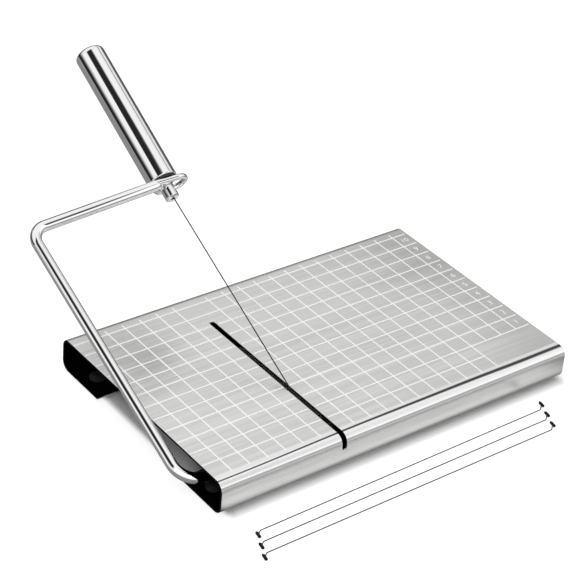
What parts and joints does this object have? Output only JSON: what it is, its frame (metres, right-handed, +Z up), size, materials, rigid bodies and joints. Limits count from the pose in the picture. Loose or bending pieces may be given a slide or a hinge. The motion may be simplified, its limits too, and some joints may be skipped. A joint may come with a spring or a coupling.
{
  "type": "cheese slicer",
  "caption": "Wire cheese slicer: a folded steel bed with a printed grid, a swinging bent-rod arm, a tensioned wire and a polished handle.",
  "frame": {"origin": "on the table, under the middle of the front left foot", "axes": "+X along the bed to the right, +Y to the rear, +Z up"},
  "size_m": [0.2249, 0.2647, 0.1228],
  "materials": {
    "polished_steel": "stainless steel, mirror polished",
    "brushed_steel": "stainless steel sheet, brushed along its length, with a printed grid",
    "dark_rubber": "matt rubber",
    "dark_nylon": "moulded nylon",
    "wire_steel": "drawn stainless wire"
  },
  "bodies": {
    "base": {"board": "brushed_steel", "pivot_bracket_left": "brushed_steel", "pivot_bracket_right": "brushed_steel", "pivot_bush_left": "dark_nylon", "pivot_bush_right": "dark_nylon", "foot_front_left": "dark_rubber", "foot_front_right": "dark_rubber", "foot_rear_left": "dark_rubber", "foot_rear_right": "dark_rubber"},
    "arm": {"arm_rod": "polished_steel", "retaining_clip_left": "wire_steel", "retaining_clip_right": "wire_steel", "cutting_wire": "wire_steel"},
    "handle": {"handle_washer": "dark_nylon", "handle_plug": "dark_nylon", "handle_nut": "brushed_steel", "handle_tube": "polished_steel", "handle_cap": "polished_steel"},
    "wire_screw": {"tension_pin": "polished_steel"},
    "spare_wires": {"spare_wire_front": "wire_steel", "spare_wire_middle": "wire_steel", "spare_wire_rear": "wire_steel"}
  },
  "joints": [
    {"name": "arm_pivot", "type": "hinge", "parent": "base", "child": "arm", "pos_m": [0.061, 0.0028, 0.009], "axis": [1, 0, 0], "range_deg": [-19.3, 140]},
    {"name": "handle_turn", "type": "hinge", "parent": "arm", "child": "handle", "pos_m": [0.0604, 0.13855, 0.07758], "axis": [0, 0.8763, 0.4818], "range_deg": [0, 720]},
    {"name": "tension_pin_slide", "type": "slide", "parent": "arm", "child": "wire_screw", "axis": [0, -0.8763, -0.4818], "range_m": [0, 0.0021], "deforming": ["cutting_wire"]},
    {"name": "spare_wires_lift", "type": "slide", "parent": "base", "child": "spare_wires", "axis": [0, 0, 1], "range_m": [0, 0.05]}
  ],
  "couplings": [
    {"joint": "tension_pin_slide", "follows": "handle_turn", "m_per_rad": 0.00015915}
  ]
}
